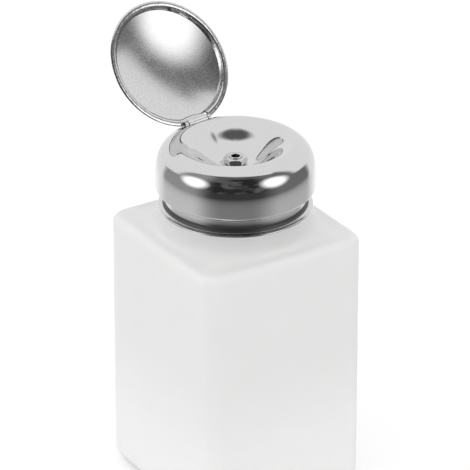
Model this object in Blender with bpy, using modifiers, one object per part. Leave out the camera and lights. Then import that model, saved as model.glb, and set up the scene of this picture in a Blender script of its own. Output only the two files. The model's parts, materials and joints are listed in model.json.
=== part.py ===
"""Nail polish remover pump: a square plastic bottle, a screw collar, and a metal press head that
pumps liquid up into its dished top, under a round flip lid. Metres, +Z up. The origin is at the
centre of the bottle's foot. The bottle's sides face along X and Y. The lid's hinge is at the back."""

import math

import bmesh
import bpy
from mathutils import Matrix, Vector

# Gaps between pieces
seat_gap = 0.0003
pin_clearance = 0.0002
stem_clearance = 0.0003
cut_overrun = 0.001
sharp_angle = math.radians(35)
steepest_lean = math.radians(60)

# Bottle
bottle_side = 0.065
bottle_corner_radius = 0.0065
bottle_wall = 0.0011
bottle_edge_height = 0.097
bottle_edge_radius = 0.0031
bottle_foot_radius = 0.006
shoulder_rise = 0.0012
cove_width = 0.0062
cove_height = 0.0058
neck_radius = 0.0208
neck_wall = 0.0018
neck_height = 0.007
least_corner_share = 0.3

# Collar
collar_height = 0.0108
thread_room = 0.0011
collar_sheet = 0.0004
collar_corner_radius = 0.0012
collar_flare = 0.0024
collar_rim_bead = 0.00035
flare_height = 0.0019
collar_hole_radius = 0.0085
liner_wall = 0.0017
liner_top = 0.001
liner_foot_gap = 0.0009
gasket_thickness = 0.001
gasket_width = 0.0016

# Pump housing, from the flange down
flange_thickness = 0.0012
flange_inset = 0.0004
barrel_radius = 0.0053
barrel_wall = 0.001
mouth_step = 0.0011
mouth_wall = 0.001
mouth_depth = 0.0016
mouth_skirt = 0.0035
barrel_length = 0.0285
seat_ledge = 0.0009
seat_hole_radius = 0.0013
seat_web = 0.0012
socket_length = 0.009
socket_wall = 0.0009
dip_tube_radius = 0.0025
dip_tube_wall = 0.0008
dip_tube_foot_gap = 0.004

# Guide bush and seal
bush_recess = 0.0004
bush_length = 0.0068
bush_pocket_wall = 0.00065
seal_height = 0.0014

# Stem, nuts and piston
stem_radius = 0.00215
stem_bore_radius = 0.0015
stem_crimp_radius = 0.0008
stem_crimp_height = 0.0008
stem_lip_height = 0.0004
stem_lip_round = 0.0002
nut_across_flats = 0.007
nut_height = 0.002
nut_chamfer = 0.0004
nut_chamfer_slope = 0.6
nut_turn = math.radians(-8.8)
washer_radius = 0.0046
washer_thickness = 0.0005
piston_socket_depth = 0.0022
piston_floor = 0.0007
piston_land = 0.0012
piston_groove_depth = 0.001
piston_seat_radius = 0.0007
outlet_ball_radius = 0.00115
outlet_ball_lift = 0.0008
inlet_ball_radius = 0.0018
inlet_ball_lift = 0.001
ball_seat_gap = 0.00015
cage_plate = 0.001
cage_wall = 0.0008
cage_slot_width = 0.0014
cage_slot_count = 4
cage_hole_radius = 0.001

# Return spring
spring_wire_radius = 0.0003
spring_clearance = 0.0008
spring_turns = 7
spring_points_a_turn = 10

# Press dome
press_travel = 0.003
press_stop_gap = 0.0003
hem_overlap = 0.0001
dome_sheet = 0.0005
dome_hem_band = 0.0011
dome_hem_bead = 0.0002
dome_tuck_height = 0.0014
dome_overhang = 0.0033
dome_shoulder = 0.0074
dome_side_power = 1.36
dome_rise_power = 0.45
dish_depth = 0.0079
dish_floor_radius = 0.0044
dish_bowl_power = 1.15
head_turn = math.radians(6.2)

# Lid, from its rim up to its crown
lid_hem_width = 0.00175
lid_hem_height = 0.0008
lid_sheet = 0.0005
lid_wall_foot_height = 0.0013
lid_wall_height = 0.0019
lid_wall_lean = 0.001
lid_edge_height = 0.0007
lid_edge_width = 0.0011
lid_crown_rise = 0.0015
lid_opening_angle = math.radians(130)
lid_rim_gap = 0.00015

# Hinge
hinge_setback = 0.0011
hinge_drop = 0.0002
hinge_barrel_radius = 0.00125
hinge_barrel_length = 0.008
hinge_pin_radius = 0.0005
ear_thickness = 0.0012
ear_radius = 0.0013
ear_stand = 0.0006
bracket_sheet = 0.0005
bracket_edge_inset = 0.00095
notch_side_room = 0.0025
hem_trim_margin = 0.001
hem_trim_reach = 0.00015

# Facets
dome_facets = 44
collar_facets = 44
lid_facets = 40
barrel_facets = 28
small_facets = 24
dish_steps = 6
side_steps = 8
tuck_steps = 2
bottle_side_steps = 4
bottle_corner_steps = 6
cove_steps = 5
foot_steps = 4
edge_steps = 3
crown_steps = 5
collar_corner_steps = 3
flare_steps = 4
rim_bead_arc = (60, -150)
rim_bead_steps = 5
hem_steps = 4
ball_segments = 14
ball_rings = 8

# Bottle, collar and pump housing, from the sizes above
neck_foot_height = bottle_edge_height + shoulder_rise + cove_height
neck_top_height = neck_foot_height + neck_height
flange_bottom = neck_top_height + gasket_thickness + 2 * seat_gap
flange_top = flange_bottom + flange_thickness
flange_radius = neck_radius - flange_inset
liner_inner_radius = neck_radius + thread_room
liner_outer_radius = liner_inner_radius + liner_wall
liner_top_height = flange_top + seat_gap + liner_top
collar_radius = liner_outer_radius + seat_gap + collar_sheet
collar_rim_radius = collar_radius + collar_flare
collar_top_height = liner_top_height + seat_gap + collar_sheet
collar_rim_height = collar_top_height - collar_height
mouth_radius = barrel_radius + mouth_step
mouth_floor = flange_top - mouth_depth
barrel_floor = flange_bottom - barrel_length
seat_radius = barrel_radius - seat_ledge
seat_bottom = barrel_floor - (seat_radius - seat_hole_radius)
socket_radius = dip_tube_radius + seat_gap
socket_top = seat_bottom - seat_web
socket_bottom = socket_top - socket_length

# Guide bush, stem and piston, from the housing down
stem_hole_radius = stem_radius + stem_clearance
bush_top = flange_top - bush_recess
bush_flange_bottom = mouth_floor + seat_gap
bush_bottom = bush_flange_bottom - bush_length
bush_pocket_radius = barrel_radius - seat_gap - bush_pocket_wall
piston_top = bush_bottom - seat_gap
stem_bottom = piston_top - piston_socket_depth + seat_gap
outlet_ball_height = stem_bottom - seat_gap - outlet_ball_lift - outlet_ball_radius
outlet_seat_drop = (outlet_ball_radius + ball_seat_gap) * math.sqrt(2) - piston_seat_radius
outlet_seat_height = outlet_ball_height - outlet_seat_drop
piston_bottom = outlet_seat_height - piston_floor

# Foot valve and spring, from the barrel's floor up
cage_bottom = barrel_floor + seat_gap
inlet_ball_height = seat_bottom - seat_hole_radius + (inlet_ball_radius + ball_seat_gap) * math.sqrt(2)
cage_plate_bottom = inlet_ball_height + inlet_ball_radius + inlet_ball_lift + seat_gap
cage_top = cage_plate_bottom + cage_plate
spring_bottom = cage_top + seat_gap
spring_top = piston_bottom - seat_gap
spring_radius = barrel_radius - spring_clearance - spring_wire_radius

# Nuts and dish: pressed down, the under nut stops just above the bush
under_nut_bottom = bush_top + press_stop_gap + press_travel
washer_bottom = under_nut_bottom + nut_height + seat_gap
washer_top = washer_bottom + washer_thickness
dish_top = washer_top + seat_gap + dome_sheet
top_nut_bottom = dish_top + seat_gap
stem_top = top_nut_bottom + nut_height + stem_lip_height

# Dome, lid and hinge, with heights above the collar's rim
dome_hem_height = flare_height + press_travel - hem_overlap
dome_hem_top = dome_hem_height + dome_hem_band
dome_widest_height = dome_hem_top + dome_tuck_height
dome_widest_radius = collar_radius + dome_overhang
dome_crest_radius = dome_widest_radius - dome_shoulder
dish_height = dish_top - collar_rim_height
dome_crest_height = dish_height + dish_depth
hinge_radius = dome_crest_radius + hinge_setback
hinge_height = dome_crest_height - hinge_drop
lid_rim_height = dome_crest_height + lid_rim_gap - hinge_height
lid_rim_inner_radius = hinge_radius
lid_radius = lid_rim_inner_radius + lid_hem_width
lid_wall_top_height = lid_wall_foot_height + lid_wall_height
lid_wall_top_radius = lid_rim_inner_radius - lid_wall_lean
lid_crown_edge_height = lid_wall_top_height + lid_edge_height
lid_crown_edge_radius = lid_wall_top_radius - lid_edge_width
lid_crown_height = lid_crown_edge_height + lid_crown_rise
ear_inner = hinge_barrel_length / 2 + seat_gap
ear_outer = ear_inner + ear_thickness
bracket_floor_height = hinge_height - ear_radius - ear_stand
notch_front = ear_radius + seat_gap
notch_half_width = ear_outer + notch_side_room
upstand_reach = notch_front + seat_gap + bracket_sheet
hem_cut_half_width = ear_outer + seat_gap
hem_trim_half_width = notch_half_width + hem_trim_margin

parts = bpy.data.collections.new("nail_polish_remover_pump")
cutters = bpy.data.collections.new("cutters")


def clear_scene():
    for obj in list(bpy.data.objects):
        bpy.data.objects.remove(obj, do_unlink=True)
    for collection in (parts, cutters):
        bpy.context.scene.collection.children.link(collection)
    cutters.hide_render = True


def material(name, colour, roughness, metallic, alpha=1.0):
    """A Principled BSDF in the colour of one piece."""
    made = bpy.data.materials.new(name)
    made.use_nodes = True
    shader = made.node_tree.nodes["Principled BSDF"]
    shader.inputs["Base Color"].default_value = (*colour, 1.0)
    shader.inputs["Roughness"].default_value = roughness
    shader.inputs["Metallic"].default_value = metallic
    shader.inputs["Alpha"].default_value = alpha
    return made


def milky(name):
    return material(name, (0.85, 0.85, 0.84), 0.45, 0.0)


def polished(name):
    return material(name, (0.62, 0.62, 0.62), 0.12, 1.0)


def white_plastic(name):
    return material(name, (0.80, 0.80, 0.79), 0.4, 0.0)


def add_mesh(name, mesh, collection=parts, finish=None):
    obj = bpy.data.objects.new(name, mesh)
    collection.objects.link(obj)
    if finish:
        mesh.materials.append(finish)
    if collection is cutters:
        obj.hide_render = True
        obj.display_type = "WIRE"
    return obj


def settle(obj):
    """Turns an object's modifiers into its mesh and shades it smooth, with sharp edges kept."""
    bpy.context.view_layer.update()
    graph = bpy.context.evaluated_depsgraph_get()
    mesh = bpy.data.meshes.new_from_object(obj.evaluated_get(graph))
    mesh.name = obj.name
    obj.modifiers.clear()
    obj.data = mesh
    mesh.shade_smooth()
    mesh.set_sharp_from_angle(angle=sharp_angle)
    return obj


def turned(name, outline, facets, collection=parts, finish=None, closed=True):
    """A turned piece. The outline is (radius, height) points that run down its outer side."""
    mesh = bpy.data.meshes.new(name)
    edges = [(i, i + 1) for i in range(len(outline) - 1)]
    if closed:
        edges.append((len(outline) - 1, 0))
    mesh.from_pydata([(radius, 0, height) for radius, height in outline], edges, [])
    obj = add_mesh(name, mesh, collection, finish)
    screw = obj.modifiers.new("turn", "SCREW")
    screw.steps = facets
    screw.render_steps = facets
    screw.use_merge_vertices = True
    screw.merge_threshold = stem_lip_round / dome_facets
    return settle(obj)


def ring(name, inner, outer, bottom, top, facets, collection=parts, finish=None):
    """A washer, tube or sleeve between two radii and two heights."""
    outline = [(inner, top), (outer, top), (outer, bottom), (inner, bottom)]
    return turned(name, outline, facets, collection, finish)


def block(name, low, high, collection=cutters):
    """A box between two corners."""
    shape = bmesh.new()
    bmesh.ops.create_cube(shape, size=1)
    size = [b - a for a, b in zip(low, high)]
    middle = [(a + b) / 2 for a, b in zip(low, high)]
    bmesh.ops.scale(shape, vec=size, verts=shape.verts)
    bmesh.ops.translate(shape, vec=middle, verts=shape.verts)
    mesh = bpy.data.meshes.new(name)
    shape.to_mesh(mesh)
    shape.free()
    return add_mesh(name, mesh, collection)


def cross_rod(name, radius, half_length, facets, collection=cutters, finish=None):
    """A cylinder along X, centred on the origin."""
    shape = bmesh.new()
    bmesh.ops.create_cone(
        shape, cap_ends=True, segments=facets, radius1=radius, radius2=radius, depth=2 * half_length
    )
    bmesh.ops.rotate(shape, cent=(0, 0, 0), matrix=Matrix.Rotation(math.pi / 2, 3, "Y"), verts=shape.verts)
    mesh = bpy.data.meshes.new(name)
    shape.to_mesh(mesh)
    shape.free()
    mesh.shade_smooth()
    mesh.set_sharp_from_angle(angle=sharp_angle)
    return add_mesh(name, mesh, collection, finish)


def combine(obj, other, operation):
    """Applies one exact Boolean."""
    boolean = obj.modifiers.new(operation.lower(), "BOOLEAN")
    boolean.operation = operation
    boolean.solver = "EXACT"
    boolean.object = other
    return settle(obj)


def join_shape(obj, other):
    """Unites another shape with an object and removes the other."""
    combine(obj, other, "UNION")
    bpy.data.objects.remove(other)
    return obj


def offset_outline(outline, distance):
    """The outline moved sideways by a distance, to the inside of one that runs down its outer side."""
    moved = []
    for i, (radius, height) in enumerate(outline):
        before = outline[max(i - 1, 0)]
        after = outline[min(i + 1, len(outline) - 1)]
        steps = []
        for start, end in ((before, (radius, height)), ((radius, height), after)):
            step = Vector((end[0] - start[0], end[1] - start[1]))
            if step.length > 0:
                steps.append(step.normalized())
        middle = sum(steps, Vector((0, 0))).normalized()
        lean = max(middle.dot(steps[0]), math.cos(steepest_lean))
        moved.append((radius + middle.y * distance / lean, height - middle.x * distance / lean))
    return moved


def arc(centre, radius, start, end, steps):
    """Points on a circle from one angle to another, in degrees."""
    angles = [math.radians(start + (end - start) * i / steps) for i in range(steps + 1)]
    return [(centre[0] + radius * math.cos(a), centre[1] + radius * math.sin(a)) for a in angles]


def bottle_ring_angles():
    """Directions round the bottle, closer together in its corners."""
    half = bottle_side / 2
    corner_start = math.atan2(half - bottle_corner_radius, half)
    corner_end = math.pi / 2 - corner_start
    quarter = [corner_start * i / bottle_side_steps for i in range(bottle_side_steps)]
    for i in range(bottle_corner_steps):
        quarter.append(corner_start + (corner_end - corner_start) * i / bottle_corner_steps)
    quarter += [corner_end + corner_start * i / bottle_side_steps for i in range(bottle_side_steps)]
    return [angle + turn * math.pi / 2 for turn in range(4) for angle in quarter]


def rounded_square_reach(angle, half, corner):
    """Distance from the centre to a rounded square's edge in one direction."""
    folded = angle % (math.pi / 2)
    across = max(math.cos(folded), math.sin(folded))
    along = min(math.cos(folded), math.sin(folded))
    centre = half - corner
    if half * along / across <= centre:
        return half / across
    return centre * (across + along) + math.sqrt(max(corner**2 - (centre * (across - along)) ** 2, 0))


def bottle_sections(inset, neck_inset):
    """(half width, corner radius, height) of each section from the foot to the neck's top."""
    half = bottle_side / 2 - inset
    corner = bottle_corner_radius - inset
    foot = bottle_foot_radius - inset
    edge = bottle_edge_radius - inset
    edge_top = bottle_edge_height - inset
    neck = neck_radius - neck_inset

    def square(width, height):
        return (width, max(corner - (half - width), corner * least_corner_share), height)

    sections = []
    for i in range(foot_steps + 1):
        turn = math.pi / 2 * i / foot_steps
        sections.append(square(half - foot * (1 - math.sin(turn)), inset + foot * (1 - math.cos(turn))))
    for i in range(edge_steps + 1):
        turn = math.pi / 2 * i / edge_steps
        sections.append(square(half - edge * (1 - math.cos(turn)), edge_top - edge * (1 - math.sin(turn))))
    for i in range(cove_steps + 1):
        turn = math.pi / 2 * i / cove_steps
        width = neck_radius + cove_width - (neck_radius + cove_width - neck) * math.sin(turn)
        rise = (cove_height + inset) * (1 - math.cos(turn))
        sections.append((width, width, edge_top + shoulder_rise + rise))
    sections.append((neck, neck, neck_top_height))
    return sections


def make_bottle():
    """The blown bottle: a loft from the square foot to the round neck, and back down inside."""
    angles = bottle_ring_angles()
    sections = bottle_sections(0, 0) + bottle_sections(bottle_wall, neck_wall)[::-1]
    shape = bmesh.new()
    rings = []
    for half, corner, height in sections:
        reaches = [rounded_square_reach(angle, half, corner) for angle in angles]
        rings.append(
            [
                shape.verts.new((reach * math.cos(angle), reach * math.sin(angle), height))
                for angle, reach in zip(angles, reaches)
            ]
        )
    count = len(angles)
    for low, high in zip(rings, rings[1:]):
        for i in range(count):
            shape.faces.new((low[i], low[(i + 1) % count], high[(i + 1) % count], high[i]))
    shape.faces.new(rings[0][::-1])
    shape.faces.new(rings[-1])
    mesh = bpy.data.meshes.new("bottle")
    shape.to_mesh(mesh)
    shape.free()
    mesh.shade_smooth()
    mesh.set_sharp_from_angle(angle=sharp_angle)
    return add_mesh("bottle", mesh, finish=milky("frosted_plastic"))


def make_collar():
    """The spun collar: top plate, straight wall, and a foot that flares to a rolled rim."""
    rim = collar_rim_height
    turn_centre = (collar_radius - collar_corner_radius, collar_top_height - collar_corner_radius)
    outer = [(collar_hole_radius, collar_top_height)]
    outer += arc(turn_centre, collar_corner_radius, 90, 0, collar_corner_steps)
    flare = collar_rim_radius - collar_rim_bead - collar_radius
    foot = flare_height - collar_rim_bead
    for i in range(flare_steps + 1):
        turn = math.pi / 2 * i / flare_steps
        outer.append(
            (collar_radius + flare * (1 - math.cos(turn)), rim + flare_height - foot * math.sin(turn))
        )
    inner = offset_outline(outer, collar_sheet)
    bead_centre = (collar_rim_radius - collar_rim_bead, rim)
    bead = arc(bead_centre, collar_rim_bead, *rim_bead_arc, rim_bead_steps)
    outline = outer + bead + inner[::-1]
    turned("collar_shell", outline, collar_facets, finish=polished("collar_steel"))


def make_collar_liner():
    """The plastic screw cap that the metal collar covers."""
    bottom = collar_rim_height + liner_foot_gap
    inside_top = liner_top_height - liner_top
    # The cap's corner is cut off to clear the rounded corner of the collar over it.
    outline = [
        (collar_hole_radius, liner_top_height),
        (liner_outer_radius - collar_corner_radius, liner_top_height),
        (liner_outer_radius, liner_top_height - collar_corner_radius),
        (liner_outer_radius, bottom),
        (liner_inner_radius, bottom),
        (liner_inner_radius, inside_top),
        (collar_hole_radius, inside_top),
    ]
    turned("collar_liner", outline, collar_facets, finish=white_plastic("cap_plastic"))


def make_neck_gasket():
    bottom = neck_top_height + seat_gap
    outer = neck_radius
    ring(
        "neck_gasket",
        outer - gasket_width,
        outer,
        bottom,
        bottom + gasket_thickness,
        collar_facets,
        finish=material("gasket_foam", (0.75, 0.75, 0.72), 0.8, 0.0),
    )


def make_pump_housing():
    """The pump barrel: flange, mouth, bore, ball seat, and the socket that holds the dip tube."""
    mouth_outer = mouth_radius + mouth_wall
    barrel_outer = barrel_radius + barrel_wall
    socket_outer = socket_radius + socket_wall
    outline = [
        (mouth_radius, flange_top),
        (flange_radius, flange_top),
        (flange_radius, flange_bottom),
        (mouth_outer, flange_bottom),
        (mouth_outer, flange_bottom - mouth_skirt),
        (barrel_outer, flange_bottom - mouth_skirt - mouth_wall),
        (barrel_outer, barrel_floor),
        (socket_outer, socket_top),
        (socket_outer, socket_bottom),
        (socket_radius, socket_bottom),
        (socket_radius, socket_top),
        (seat_hole_radius, socket_top),
        (seat_hole_radius, seat_bottom),
        (seat_radius, barrel_floor),
        (barrel_radius, barrel_floor),
        (barrel_radius, mouth_floor),
        (mouth_radius, mouth_floor),
    ]
    turned("pump_housing", outline, barrel_facets, finish=white_plastic("housing_plastic"))


def make_guide_bush():
    """The bush that closes the barrel and guides the stem, with a pocket below for the seal."""
    body = barrel_radius - seat_gap
    pocket = bush_pocket_radius
    pocket_top = bush_bottom + seal_height + 2 * seat_gap
    outline = [
        (stem_hole_radius, bush_top),
        (mouth_radius - seat_gap, bush_top),
        (mouth_radius - seat_gap, bush_flange_bottom),
        (body, bush_flange_bottom),
        (body, bush_bottom),
        (pocket, bush_bottom),
        (pocket, pocket_top),
        (stem_hole_radius, pocket_top),
    ]
    turned("guide_bush", outline, barrel_facets, finish=white_plastic("bush_plastic"))


def make_stem_seal():
    bottom = bush_bottom + seat_gap
    ring(
        "stem_seal",
        stem_hole_radius,
        bush_pocket_radius - seat_gap,
        bottom,
        bottom + seal_height,
        small_facets,
        finish=material("seal_rubber", (0.06, 0.06, 0.06), 0.7, 0.0),
    )


def make_ball(name, radius, height):
    shape = bmesh.new()
    bmesh.ops.create_uvsphere(shape, u_segments=ball_segments, v_segments=ball_rings, radius=radius)
    mesh = bpy.data.meshes.new(name)
    shape.to_mesh(mesh)
    shape.free()
    mesh.shade_smooth()
    ball = add_mesh(name, mesh, finish=polished(name + "_steel"))
    ball.location = (0, 0, height)


def make_ball_cage():
    """The slotted cage that stops the foot valve's ball and carries the spring."""
    outer = barrel_radius - seat_gap
    outline = [
        (cage_hole_radius, cage_top),
        (outer, cage_top),
        (outer, cage_bottom),
        (outer - cage_wall, cage_bottom),
        (outer - cage_wall, cage_plate_bottom),
        (cage_hole_radius, cage_plate_bottom),
    ]
    cage = turned("ball_cage", outline, barrel_facets, finish=white_plastic("cage_plastic"))
    slot_inner = cage_hole_radius + cage_wall
    slot_outer = outer - cage_wall
    for i in range(cage_slot_count):
        slot = block(
            "cage_slot",
            (slot_inner, -cage_slot_width / 2, cage_plate_bottom - cut_overrun),
            (slot_outer, cage_slot_width / 2, cage_top + cut_overrun),
        )
        slot.rotation_euler.z = 2 * math.pi * i / cage_slot_count
        combine(cage, slot, "DIFFERENCE")
        bpy.data.objects.remove(slot)


def make_dip_tube():
    """The tube that draws liquid from the foot of the bottle."""
    ring(
        "dip_tube",
        dip_tube_radius - dip_tube_wall,
        dip_tube_radius,
        bottle_wall + dip_tube_foot_gap,
        socket_top - seat_gap,
        small_facets,
        finish=material("tube_plastic", (0.82, 0.82, 0.80), 0.3, 0.0),
    )


def dish_surface(radius):
    """Height of the dished top at a radius, above the collar's rim."""
    share = (radius - dish_floor_radius) / (dome_crest_radius - dish_floor_radius)
    bowl = math.sin(math.pi / 2 * max(share, 0) ** dish_bowl_power) ** 2
    return dish_height + (dome_crest_height - dish_height) * bowl


def dome_side_radius(height):
    """Outer radius of the dome's side at a height above the collar's rim."""
    share = (height - dome_widest_height) / (dome_crest_height - dome_widest_height)
    sine = share ** (1 / dome_rise_power)
    return dome_crest_radius + dome_shoulder * math.sqrt(1 - sine**2) ** dome_side_power


def dome_outline():
    """The dome's outer line, from the hole in the dish over the crest to the hem."""
    points = [(stem_hole_radius, dish_height)]
    for i in range(dish_steps + 1):
        radius = dish_floor_radius + (dome_crest_radius - dish_floor_radius) * i / dish_steps
        points.append((radius, dish_surface(radius)))
    rise = dome_crest_height - dome_widest_height
    for i in range(1, side_steps + 1):
        turn = math.pi / 2 * (1 - i / side_steps) ** 2
        radius = dome_crest_radius + dome_shoulder * math.cos(turn) ** dome_side_power
        points.append((radius, dome_widest_height + rise * math.sin(turn) ** dome_rise_power))
    hem_radius = collar_radius + seat_gap + dome_sheet
    tuck = dome_widest_radius - hem_radius
    for i in range(1, tuck_steps + 1):
        share = i / tuck_steps
        drop = dome_tuck_height * math.sin(math.pi / 2 * share)
        radius = dome_widest_radius - tuck * (1 - math.cos(math.pi / 2 * share))
        points.append((radius, dome_widest_height - drop))
    return points, hem_radius


def make_press_dome(head):
    """The pressed dome: dished top, rounded crest, full sides, tucked-in hem, notched for the hinge."""
    outer, hem_radius = dome_outline()
    inner = offset_outline(outer, dome_sheet)
    bead_height = dome_hem_height + dome_hem_band / 2
    outer += [
        (hem_radius + dome_hem_bead, bead_height),
        (hem_radius, dome_hem_height),
    ]
    inner[-1] = (hem_radius - dome_sheet, inner[-1][1])
    inner.append((hem_radius - dome_sheet, dome_hem_height))
    dome = turned("press_dome", outer + inner[::-1], dome_facets, finish=polished("dome_steel"))
    notch = block(
        "hinge_notch",
        (-notch_half_width, hinge_radius - notch_front, bracket_floor_height),
        (notch_half_width, dome_widest_radius + cut_overrun, dome_crest_height + cut_overrun),
    )
    combine(dome, notch, "DIFFERENCE")
    notch.parent = head
    dome.parent = head


def make_nut(name, bottom, head):
    """A hexagon nut with a chamfered top, bored for the stem."""
    corner_radius = nut_across_flats / 2 / math.cos(math.pi / 6)
    shape = bmesh.new()
    bmesh.ops.create_cone(
        shape, cap_ends=True, segments=6, radius1=corner_radius, radius2=corner_radius, depth=nut_height
    )
    bmesh.ops.translate(shape, vec=(0, 0, bottom + nut_height / 2), verts=shape.verts)
    mesh = bpy.data.meshes.new(name)
    shape.to_mesh(mesh)
    shape.free()
    nut = add_mesh(name, mesh, finish=polished(name + "_steel"))
    top = bottom + nut_height
    flat = nut_across_flats / 2
    crown_radius = corner_radius + nut_chamfer
    crown = turned(
        name + "_crown",
        [
            (stem_hole_radius, top),
            (flat, top),
            (crown_radius, top - (crown_radius - flat) * nut_chamfer_slope),
            (crown_radius, bottom - cut_overrun),
            (stem_hole_radius, bottom - cut_overrun),
        ],
        small_facets,
        cutters,
    )
    combine(nut, crown, "INTERSECT")
    bpy.data.objects.remove(crown)
    nut.rotation_euler.z = nut_turn
    nut.parent = head
    nut.matrix_parent_inverse = Matrix.Translation((0, 0, -collar_rim_height))


def make_stem_tube():
    """The metal tube that carries the piston and pours into the dish."""
    lip = stem_lip_round
    crimp_top = stem_bottom + stem_crimp_height
    outline = [
        (stem_bore_radius + lip, stem_top),
        (stem_radius - lip, stem_top),
        (stem_radius, stem_top - lip),
        (stem_radius, stem_bottom),
        (stem_crimp_radius, stem_bottom),
        (stem_crimp_radius, crimp_top),
        (stem_bore_radius, crimp_top + stem_crimp_height),
        (stem_bore_radius, stem_top - lip),
    ]
    turned("stem_tube", outline, small_facets, finish=polished("stem_steel"))


def make_under_washer():
    ring(
        "under_washer",
        stem_hole_radius,
        washer_radius,
        washer_bottom,
        washer_top,
        small_facets,
        finish=polished("washer_steel"),
    )


def make_piston():
    """The piston: socket for the stem, groove for its seal, and the outlet ball's seat."""
    outer = barrel_radius - seat_gap
    groove = outer - piston_groove_depth
    chamber = outlet_ball_radius + seat_gap
    socket_floor = piston_top - piston_socket_depth
    seat_top = outlet_seat_height + chamber - piston_seat_radius
    outline = [
        (stem_hole_radius, piston_top),
        (outer, piston_top),
        (outer, piston_top - piston_land),
        (groove, piston_top - piston_land),
        (groove, piston_bottom + piston_land),
        (outer, piston_bottom + piston_land),
        (outer, piston_bottom),
        (piston_seat_radius, piston_bottom),
        (piston_seat_radius, outlet_seat_height),
        (chamber, seat_top),
        (chamber, socket_floor),
        (stem_hole_radius, socket_floor),
    ]
    turned("piston", outline, small_facets, finish=white_plastic("piston_plastic"))


def make_piston_seal():
    """The cup seal in the piston's groove."""
    inner = barrel_radius - piston_groove_depth
    bottom = piston_bottom + piston_land + seat_gap
    top = piston_top - piston_land - seat_gap
    outer = barrel_radius - pin_clearance
    waist = outer - (outer - inner) / 3
    outline = [
        (inner, top),
        (waist, top),
        (outer, top - (top - bottom) / 4),
        (waist, (top + bottom) / 2),
        (outer, bottom + (top - bottom) / 4),
        (waist, bottom),
        (inner, bottom),
    ]
    turned("piston_seal", outline, small_facets, finish=material("cup_rubber", (0.08, 0.08, 0.08), 0.7, 0.0))


def make_return_spring():
    """One unbroken wire that winds up from the cage to the piston."""
    start = spring_bottom + spring_wire_radius
    rise = spring_top - spring_wire_radius - start
    count = spring_turns * spring_points_a_turn
    points = []
    for i in range(count + 1):
        turn = 2 * math.pi * spring_turns * i / count
        points.append(
            Vector((spring_radius * math.cos(turn), spring_radius * math.sin(turn), start + rise * i / count))
        )
    lead = 2 * spring_wire_radius
    points.insert(0, points[0] + Vector((0, -lead, 0)))
    points.append(points[-1] + Vector((0, lead, 0)))
    curve = bpy.data.curves.new("return_spring", "CURVE")
    curve.dimensions = "3D"
    curve.bevel_depth = spring_wire_radius
    curve.bevel_resolution = 1
    curve.use_fill_caps = True
    spline = curve.splines.new("POLY")
    spline.points.add(len(points) - 1)
    for point, place in zip(spline.points, points):
        point.co = (*place, 1)
    spring = bpy.data.objects.new("return_spring", curve)
    parts.objects.link(spring)
    curve.materials.append(polished("spring_steel"))
    least = min(
        (a - b).length
        for i, a in enumerate(points)
        for b in points[i + spring_points_a_turn // 2 :]
    )
    print("least gap between the spring's turns, mm:", round(1000 * (least - 2 * spring_wire_radius), 3))


def make_hinge_bracket(head):
    """The sheet bracket in the dome's notch, with two ears for the pin."""
    floor_top = bracket_floor_height
    floor_bottom = floor_top - bracket_sheet
    front = hinge_radius - upstand_reach
    corner_radius = dome_side_radius(floor_top) - bracket_edge_inset
    back = math.sqrt(corner_radius**2 - ear_outer**2)
    bracket = block(
        "hinge_bracket",
        (-ear_outer, front, floor_bottom),
        (ear_outer, back, floor_top),
        parts,
    )
    upstand_top = dish_surface(front) - dome_sheet - seat_gap * 2
    join_shape(
        bracket,
        block("upstand", (-ear_outer, front, floor_bottom), (ear_outer, front + bracket_sheet, upstand_top)),
    )
    for side in (-1, 1):
        inside = side * ear_inner
        outside = side * ear_outer
        low = min(inside, outside)
        high = max(inside, outside)
        foot = block(
            "ear_foot",
            (low, hinge_radius - ear_radius, floor_top - bracket_sheet / 2),
            (high, hinge_radius + ear_radius, hinge_height),
        )
        eye = cross_rod("ear_eye", ear_radius, ear_thickness / 2, small_facets)
        eye.location = ((low + high) / 2, hinge_radius, hinge_height)
        join_shape(foot, eye)
        join_shape(bracket, foot)
    bore = cross_rod("pin_bore", hinge_pin_radius + pin_clearance, ear_outer + cut_overrun, small_facets)
    bore.location = (0, hinge_radius, hinge_height)
    combine(bracket, bore, "DIFFERENCE")
    bore.parent = head
    bracket.data.materials.append(polished("bracket_steel"))
    bracket.parent = head


def make_hinge_pin(head):
    pin = cross_rod(
        "hinge_pin", hinge_pin_radius, ear_outer + seat_gap, small_facets, parts, polished("pin_steel")
    )
    pin.location = (0, hinge_radius, hinge_height)
    pin.parent = head


def lid_outline():
    """The lid's closed section, from the crown's centre down its outside, round the hem, and back."""
    crown = []
    for i in range(crown_steps + 1):
        share = i / crown_steps
        crown.append((lid_crown_edge_radius * share, lid_crown_height - lid_crown_rise * share**2))
    outer = crown + [
        (lid_wall_top_radius, lid_wall_top_height),
        (lid_rim_inner_radius, lid_wall_foot_height),
    ]
    inner = offset_outline(outer, lid_sheet)
    inner[0] = (0, lid_crown_height - lid_sheet)
    hem_half = lid_hem_height / 2
    hem = arc((lid_radius - hem_half, hem_half), hem_half, 90, -90, hem_steps)
    outer.append((lid_rim_inner_radius + lid_sheet, lid_hem_height))
    return outer + hem + [(lid_rim_inner_radius, 0)] + inner[::-1]


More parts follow.
